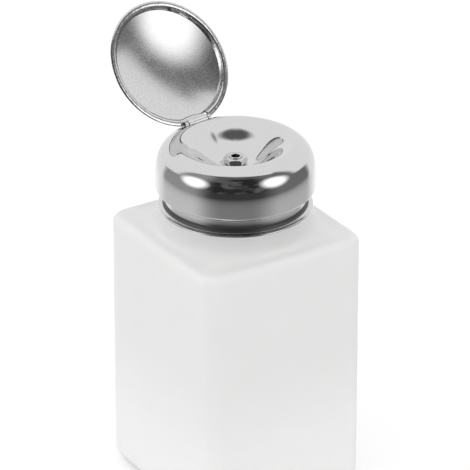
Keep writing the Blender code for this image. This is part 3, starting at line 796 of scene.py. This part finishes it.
class Finish(Nodes):
    """One material: a Principled shader and the nodes that give it detail."""

    def __init__(self, name, colour, roughness, metallic=0.0, **settings):
        self.material = bpy.data.materials.new(name)
        self.material.use_nodes = True
        super().__init__(self.material.node_tree)
        self.shader = self.tree.nodes["Principled BSDF"]
        settings.update(Base_Color=(*colour, 1), Roughness=roughness, Metallic=metallic)
        for key, value in settings.items():
            self.give(key.replace("_", " "), value)
        self.place = self.add("ShaderNodeTexCoord").outputs["Object"]

    def give(self, key, value):
        """Sets or links a socket of the shader."""
        self.join(value, self.shader.inputs[key])

    def speckle(self, scale, detail):
        """Noise that stays on the piece."""
        return self.noise(self.place, scale, detail)

    def varied(self, noise, low, high):
        """A number between low and high that follows the middle of a noise."""
        return self.ramp(noise, *noise_middle, low, high)

    def stretched(self, scale, place):
        mapping = self.add("ShaderNodeMapping")
        self.join(scale, mapping.inputs["Scale"])
        self.join(place, mapping.inputs["Vector"])
        return mapping.outputs["Vector"]

    def laid(self, centre, angles, place):
        """Coordinates in the frame of a moved or turned piece."""
        mapping = self.add("ShaderNodeMapping", vector_type="TEXTURE")
        self.join(centre, mapping.inputs["Location"])
        self.join(angles, mapping.inputs["Rotation"])
        self.join(place, mapping.inputs["Vector"])
        return mapping.outputs["Vector"]

    def reach(self, place):
        """How far a place lies from the upright axis of its coordinates."""
        node = self.add("ShaderNodeVectorMath", operation="LENGTH")
        self.join(self.stretched((1, 1, 0), place), node.inputs[0])
        return node.outputs["Value"]

    def tint(self, share, first, second):
        """Mixes two close colours."""
        node = self.add("ShaderNodeMix", data_type="RGBA")
        self.join(share, node.inputs["Factor"])
        self.join((*first, 1), node.inputs[first_colour])
        self.join((*second, 1), node.inputs[second_colour])
        self.give("Base Color", node.outputs[mixed_colour])

    def bump(self, height, distance):
        node = self.add("ShaderNodeBump")
        self.join(1.0, node.inputs["Strength"])
        self.join(distance, node.inputs["Distance"])
        self.join(height, node.inputs["Height"])
        self.give("Normal", node.outputs["Normal"])


def grey(level):
    return (level, level, level)


def frosted_finish():
    """Frosted, milky plastic, brighter toward the foot, with painted light on the shoulder."""
    finish = Finish("frosted_plastic_finish", (0.88, 0.88, 0.875), 0.42, Subsurface_Weight=0.35, IOR=1.46)
    finish.give("Subsurface Radius", (1, 1, 1))
    finish.give("Subsurface Scale", 0.003)
    cloud = finish.speckle(frost_cloud, 4)
    height = finish.parts(finish.place)[2]
    full = finish.ramp(height, 0, milk_foot_share * edge_height, 1, 0)
    # Painted light: the shoulder is made paler, to make up for the shade that the head casts on it
    shoulder = finish.ramp(height, edge_height, edge_height + shoulder_rise)
    clouds = finish.math("MULTIPLY", cloud, milk_cloud_share)
    milk_and_painted_light = finish.math("ADD", finish.math("ADD", full, shoulder), clouds)
    finish.tint(milk_and_painted_light, milk_dim, milk_bright_and_painted_light)
    finish.give("Roughness", finish.varied(cloud, *frost_roughness))
    swell = finish.math("MULTIPLY", finish.speckle(frost_swell, 2), frost_swell_share)
    finish.bump(finish.math("ADD", finish.speckle(frost_grain, 3), swell), frost_relief)
    return finish.material


def crease_share(finish):
    """How far a place lies in the crease round the collar's foot, where the collar's steel is darkened as
    painted shade.
    """
    height = finish.parts(finish.place)[2]
    soft = (crease_top - crease_bottom) / 12
    below = finish.ramp(height, crease_top - soft, crease_top + soft, 1, 0)
    above = finish.ramp(height, crease_bottom - soft, crease_bottom + soft)
    return finish.math("MULTIPLY", below, above)


def notch_share(finish):
    """How near a place lies to the ends of the dome's hinge notch, where the dome's steel is darkened as
    painted shade.
    """
    across, along, height = finish.parts(finish.laid((0, 0, 0), (0, 0, head_turn), finish.place))
    off = finish.math("SUBTRACT", finish.math("ABSOLUTE", across), notch_half)
    near = finish.ramp(finish.math("ABSOLUTE", off), dome_sheet / 2, dome_sheet, 1, 0)
    behind = finish.ramp(along, notch_front - 2 * dome_sheet, notch_front)
    above = finish.ramp(height, notch_floor - dome_sheet, notch_floor)
    return finish.math("MULTIPLY", finish.math("MULTIPLY", near, behind), above)


def steel_finish(name, level, roughness, streak_axis, painted_shade=None):
    """Polished steel with faint polishing streaks along one axis, darkened with painted shade and made
    rougher in one place.
    """
    finish = Finish(name, grey(level), roughness, 1.0)
    scale = [1.0, 1.0, 1.0]
    scale[streak_axis] = streak_stretch
    streaks = finish.noise(finish.stretched(scale, finish.place), streak_grain, 3)
    cloud = finish.speckle(steel_cloud, 3)
    shine = finish.ramp(streaks, 0, 1, *[level * share for share in shine_shares])
    mottle = finish.math("MULTIPLY", finish.math("ADD", streaks, cloud), 0.5)
    rough = finish.varied(mottle, *[roughness * share for share in roughness_shares])
    if painted_shade:
        # Painted shade: the steel is made darker, and rougher, where the mask reaches
        dull_and_painted_shade = painted_shade(finish)
        shine = finish.mix(dull_and_painted_shade, shine, level * painted_shade_share)
        rough = finish.mix(dull_and_painted_shade, rough, dull_roughness)
    finish.give("Base Color", shine)
    finish.give("Roughness", rough)
    finish.bump(finish.math("ADD", streaks, finish.math("MULTIPLY", cloud, 2)), steel_relief)
    return finish.material


def lid_cut(finish, laid):
    """How far a place lies in the lid's cut for the hinge, or in the seat of its leaf, where the lid is
    darkened as painted shade.
    """
    across = finish.math("ABSOLUTE", finish.parts(laid)[0])
    inside = finish.ramp(across, hem_cut_half + lid_blend, hem_cut_half + 3 * lid_blend, 1, 0)
    seat_centre = (0, leaf_end + leaf_curve + lid_forward, 0)
    seat = finish.reach(finish.laid(seat_centre, (0, 0, 0), laid))
    seat_edge = leaf_curve + leaf_groove
    return finish.math("MULTIPLY", inside, finish.ramp(seat, seat_edge, seat_edge + lid_blend, 1, 0))


def lid_finish():
    """Satin and finely speckled in the lid's bowl, polished and a little wavy on its wall and hem, darkened
    with painted shade in the cut at the hinge and in the leaf's seat.
    """
    finish = Finish("lid_steel_finish", grey(0.76), 0.2, 1.0)
    swing = Matrix.Rotation(-lid_opening, 3, "X")
    hinge = Vector((0, hinge_back, hinge_height))
    centre = hinge + swing @ (Vector((0, -lid_forward, lid_rim)) - hinge)
    centre.rotate(Matrix.Rotation(head_turn, 3, "Z"))
    laid = finish.laid(centre, (-lid_opening, 0, head_turn), finish.place)
    bowl = finish.ramp(finish.reach(laid), bowl_radius - lid_blend, bowl_radius + lid_blend, 1, 0)
    speckle = finish.noise(laid, speckle_grain, 4)
    cloud = finish.noise(laid, bowl_cloud, 3)
    waves = finish.noise(laid, hem_waves, 2)
    satin = finish.ramp(finish.math("ADD", speckle, cloud), 0.7, 1.3, *bowl_roughness)
    rough = finish.mix(bowl, finish.varied(waves, *hem_roughness), satin)
    shine = finish.varied(speckle, *lid_brightness)
    # Painted shade: the cut at the hinge and the leaf's seat are made dark and rough
    cut = lid_cut(finish, laid)
    finish.give("Roughness", finish.mix(cut, rough, dull_roughness))
    finish.give("Base Color", finish.mix(cut, shine, lid_cut_painted_shade))
    grain = finish.math("MULTIPLY", speckle, speckle_relief_share)
    relief = finish.mix(bowl, finish.math("MULTIPLY", waves, hem_relief_share), grain)
    finish.bump(relief, steel_relief)
    return finish.material


def moulded_finish(name, colour, roughness, grain):
    """Plain moulded stuff, faintly uneven in colour and gloss."""
    finish = Finish(name, colour, roughness, IOR=1.49)
    cloud = finish.speckle(moulded_cloud, 3)
    finish.tint(cloud, [c * 0.96 for c in colour], [min(c * 1.03, 1) for c in colour])
    finish.give("Roughness", finish.varied(cloud, roughness * 0.85, roughness * 1.2))
    finish.bump(finish.speckle(grain, 3), moulded_relief)
    return finish.material


def make_finishes():
    return {
        "frosted_plastic": frosted_finish(),
        # The dome's steel is darkened at the ends of its hinge notch: painted shade
        "polished_steel": steel_finish("polished_steel_finish", 0.76, 0.045, 2, notch_share),
        # The collar's steel is darkened in the crease round its foot: painted shade
        "collar_steel": steel_finish("collar_steel_finish", 0.76, 0.045, 2, crease_share),
        "hinge_steel": steel_finish("hinge_steel_finish", 0.86, 0.28, 0),
        "lid_steel": lid_finish(),
        "valve_steel": steel_finish("turned_steel_finish", 0.7, 0.12, 0),
        "white_plastic": moulded_finish("white_plastic_finish", (0.8, 0.8, 0.79), 0.3, 2500),
        "tube_plastic": moulded_finish("tube_plastic_finish", (0.82, 0.82, 0.8), 0.22, 1500),
        "gasket": moulded_finish("gasket_finish", (0.75, 0.75, 0.72), 0.8, 6000),
        "seal_rubber": moulded_finish("seal_rubber_finish", (0.06, 0.06, 0.06), 0.55, 4000),
    }


def dress(piece, finish, body, replaced=()):
    """Gives a piece its finish, the body it rides on and the solids that it stands for."""
    piece.data.materials.clear()
    piece.data.materials.append(finish)
    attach(piece, body)
    if replaced:
        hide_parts(*replaced)


def build():
    """Makes and dresses the visible pieces, and gives the carried-over solids their finishes."""
    finishes = make_finishes()
    bottle = make_bottle()
    draw_in_neck(bottle)
    dress(bottle, finishes["frosted_plastic"], "bottle", ["bottle"])
    ridge = thread_depth + thread_sink
    thread = make_thread("neck_thread", neck_radius - thread_sink, ridge, neck_thread_foot)
    dress(thread, finishes["frosted_plastic"], "bottle")
    cap_thread = make_thread("cap_thread", liner_radius + thread_sink, -ridge, cap_thread_foot)
    dress(cap_thread, finishes["white_plastic"], "collar")
    dress(make_collar(), finishes["collar_steel"], "collar", ["collar_shell"])
    dress(make_dome(), finishes["polished_steel"], "plunger", ["press_dome"])
    dress(make_lid(), finishes["lid_steel"], "lid", ["lid_shell"])
    dress(make_tongue(), finishes["hinge_steel"], "lid")
    dress(make_leaf(), finishes["hinge_steel"], "lid")
    dress(make_stem(), finishes["valve_steel"], "plunger", ["stem_tube"])
    dress(make_top_nut(), finishes["valve_steel"], "plunger", ["top_nut"])
    spring = make_spring()
    dress(spring, finishes["valve_steel"], "plunger", ["return_spring"])
    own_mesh(spring)
    replaced = {"bottle", "collar_shell", "press_dome", "lid_shell", "stem_tube", "top_nut", "return_spring"}
    slots = {entry["node"]: entry["material_slot"] for entry in frame["record"]["subparts"]}
    for name, node in frame["nodes"].items():
        if name not in replaced:
            node.data.materials.clear()
            node.data.materials.append(finishes[slots[name]])


# Camera, fitted to the bottle's outline in the photo
camera_azimuth = math.radians(-32.6)
camera_elevation = math.radians(26.8)
camera_distance = 1.5517
camera_lens = 344.7
camera_sensor = 36
pixels_a_metre = 2900
pixels_right = 0.5
pixels_below = 11.6
sight_end = 50


def make_camera():
    """The photo's camera. Returns the level directions to its right, and from the object to it."""
    cos_up, sin_up = math.cos(camera_elevation), math.sin(camera_elevation)
    right = Vector((math.cos(camera_azimuth), math.sin(camera_azimuth), 0))
    back = Vector((math.sin(camera_azimuth) * cos_up, -math.cos(camera_azimuth) * cos_up, sin_up))
    up = back.cross(right)
    aside = right * (pixels_right / pixels_a_metre) + up * (pixels_below / pixels_a_metre)
    target = Vector((0, 0, edge_height)) - aside
    bpy.ops.object.camera_add()
    camera = bpy.context.object
    facing = Matrix((right, up, back)).transposed().to_4x4()
    camera.matrix_world = Matrix.Translation(target + back * camera_distance) @ facing
    camera.data.sensor_width = camera_sensor
    camera.data.lens = camera_lens
    camera.data.clip_end = sight_end
    bpy.context.scene.camera = camera
    return right, Vector((back.x, back.y, 0)).normalized()


# Room that the polish mirrors. Directions are degrees round from the camera's side, and up.
# A ramp holds where it starts and ends, and then the brightness or the share at both.
room_middle = 2
screen_ramp = (28, 66, 0.045, 0.17)
left_ramp = (-64, -34, 1, 0)
left_screen = 0.15
rear_shift_ramp = (6, 22, 0, 26)
rear_ramp = (115, 128)
rear_level = 0.86
blotch_scale = 3.2
blotch_detail = 1.0
blotch_ramp = (0.4, 0.68, -0.02, 0.07)
blotch_fade_ramp = (30, 60, 1, 0)
upper_ramp = (60, 71)
upper_level = 0.11
ceiling_bend_end = 116
ceiling_bend_power = 2.9
ceiling_bend = 50
ceiling_bend_most_ramp = (0, 20, 200, 21.5)
ceiling_ramp = (76, 82)
ceiling_level = 0.87
lamps = ((61.5, 25.2, 19.2, 18.4), (-63.5, 21.5, 19, 17.5))
lamp_ramp = (0.6, 1.5, 1, 0)
lamp_level = 1.5

# Even light on what isn't polished, stronger from the left and from above
even_light = 0.97
even_slope = (-0.11, 0.0, 0.09)

# Floor, as the polish mirrors it and as the camera sees it
floor_size = 12
floor_ahead_ramp = (18, 66, 0.23, 0.52)
floor_left = 0.12
floor_rear_ramp = (110, 150)
floor_fade_ramp = (0.21, 0.5)
floor_colour = 0.93
floor_glow = 0.09


def degrees_round(nodes, place, right, ahead):
    """How many degrees round from the camera's side a direction or a place lies."""
    turned_by = nodes.math("ARCTAN2", nodes.dot(place, right), nodes.dot(place, ahead))
    return nodes.math("MULTIPLY", turned_by, math.degrees(1))


def wall_level(nodes, azimuth, elevation=0.0):
    """How bright the room stands round the object: dark ahead, grey at the sides, white behind."""
    spread = nodes.math("ABSOLUTE", nodes.math("SUBTRACT", azimuth, room_middle))
    left = nodes.ramp(azimuth, *left_ramp)
    screens = nodes.math("ADD", nodes.ramp(spread, *screen_ramp), nodes.math("MULTIPLY", left, left_screen))
    shifted = nodes.math("ADD", spread, nodes.ramp(elevation, *rear_shift_ramp))
    return nodes.mix(nodes.ramp(shifted, *rear_ramp), screens, rear_level), spread


def mirrored_level(room, direction, azimuth):
    """The brightness of the room in a direction: walls, dark upper part, white ceiling and two lamps."""
    rise = room.dot(direction, (0, 0, 1))
    elevation = room.math("MULTIPLY", room.math("ARCSINE", rise), math.degrees(1))
    walls, spread = wall_level(room, azimuth, elevation)
    blotches = room.ramp(room.noise(direction, blotch_scale, blotch_detail), *blotch_ramp)
    blotches = room.math("MULTIPLY", blotches, room.ramp(spread, *blotch_fade_ramp))
    level = room.mix(room.ramp(elevation, *upper_ramp), room.math("ADD", walls, blotches), upper_level)
    sideways = room.math("DIVIDE", room.math("ABSOLUTE", azimuth), ceiling_bend_end)
    bend = room.math("MULTIPLY", room.math("POWER", sideways, ceiling_bend_power), ceiling_bend)
    bend = room.math("MINIMUM", bend, room.ramp(azimuth, *ceiling_bend_most_ramp))
    ceiling = room.ramp(room.math("ADD", elevation, bend), *ceiling_ramp)
    level = room.mix(ceiling, level, ceiling_level)
    for lamp_azimuth, lamp_elevation, half_width, half_height in lamps:
        across = room.math("DIVIDE", room.math("SUBTRACT", azimuth, lamp_azimuth), half_width)
        along = room.math("DIVIDE", room.math("SUBTRACT", elevation, lamp_elevation), half_height)
        level = room.mix(room.ramp(room.apart(across, along), *lamp_ramp), level, lamp_level)
    return level


def make_room(right, ahead):
    """White behind the object, an even soft light on it, and the room that its polish mirrors."""
    world = bpy.data.worlds.new("studio")
    bpy.context.scene.world = world
    world.use_nodes = True
    room = Nodes(world.node_tree)
    room.tree.nodes.clear()
    direction = room.add("ShaderNodeTexCoord").outputs["Generated"]
    azimuth = degrees_round(room, direction, right, ahead)
    level = mirrored_level(room, direction, azimuth)
    even = room.math("ADD", even_light, room.dot(direction, even_slope))
    path = room.add("ShaderNodeLightPath")
    first = room.math("LESS_THAN", path.outputs["Diffuse Depth"], 0.5)
    light = room.mix(room.math("MULTIPLY", path.outputs["Is Glossy Ray"], first), even, level)
    light = room.mix(path.outputs["Is Camera Ray"], light, 1.0)
    background = room.add("ShaderNodeBackground")
    room.join(light, background.inputs["Strength"])
    room.join((1, 1, 1, 1), background.inputs["Color"])
    output = room.add("ShaderNodeOutputWorld")
    room.join(background.outputs[0], output.inputs["Surface"])


def make_floor(right, ahead):
    """The pale floor. The polish sees it fade into the dark room in front of the object."""
    bpy.ops.mesh.primitive_plane_add(size=floor_size)
    floor = named("floor")
    material = bpy.data.materials.new("pale_floor")
    material.use_nodes = True
    ground = Nodes(material.node_tree)
    ground.tree.nodes.clear()
    place = ground.add("ShaderNodeTexCoord").outputs["Object"]
    azimuth = degrees_round(ground, place, right, ahead)
    away = ground.apart(ground.dot(place, right), ground.dot(place, ahead))
    walls, spread = wall_level(ground, azimuth)
    left = ground.math("MULTIPLY", ground.ramp(azimuth, *left_ramp), floor_left)
    near = ground.math("ADD", ground.ramp(spread, *floor_ahead_ramp), left)
    near = ground.mix(ground.ramp(spread, *floor_rear_ramp), near, 1.0)
    shade = ground.mix(ground.ramp(away, *floor_fade_ramp), near, walls)
    path = ground.add("ShaderNodeLightPath")
    level = ground.mix(path.outputs["Is Glossy Ray"], floor_colour, shade)
    colour = ground.add("ShaderNodeCombineColor")
    for socket in colour.inputs:
        ground.join(level, socket)
    surface = ground.add("ShaderNodeBsdfDiffuse")
    ground.join(colour.outputs[0], surface.inputs["Color"])
    glow = ground.add("ShaderNodeEmission")
    ground.join(ground.math("MULTIPLY", path.outputs["Is Camera Ray"], floor_glow), glow.inputs["Strength"])
    total = ground.add("ShaderNodeAddShader")
    ground.join(surface.outputs[0], total.inputs[0])
    ground.join(glow.outputs[0], total.inputs[1])
    output = ground.add("ShaderNodeOutputMaterial")
    ground.join(total.outputs[0], output.inputs["Surface"])
    floor.data.materials.append(material)


build()
right, ahead = make_camera()
make_room(right, ahead)
make_floor(right, ahead)
bpy.context.scene.view_settings.view_transform = "Standard"
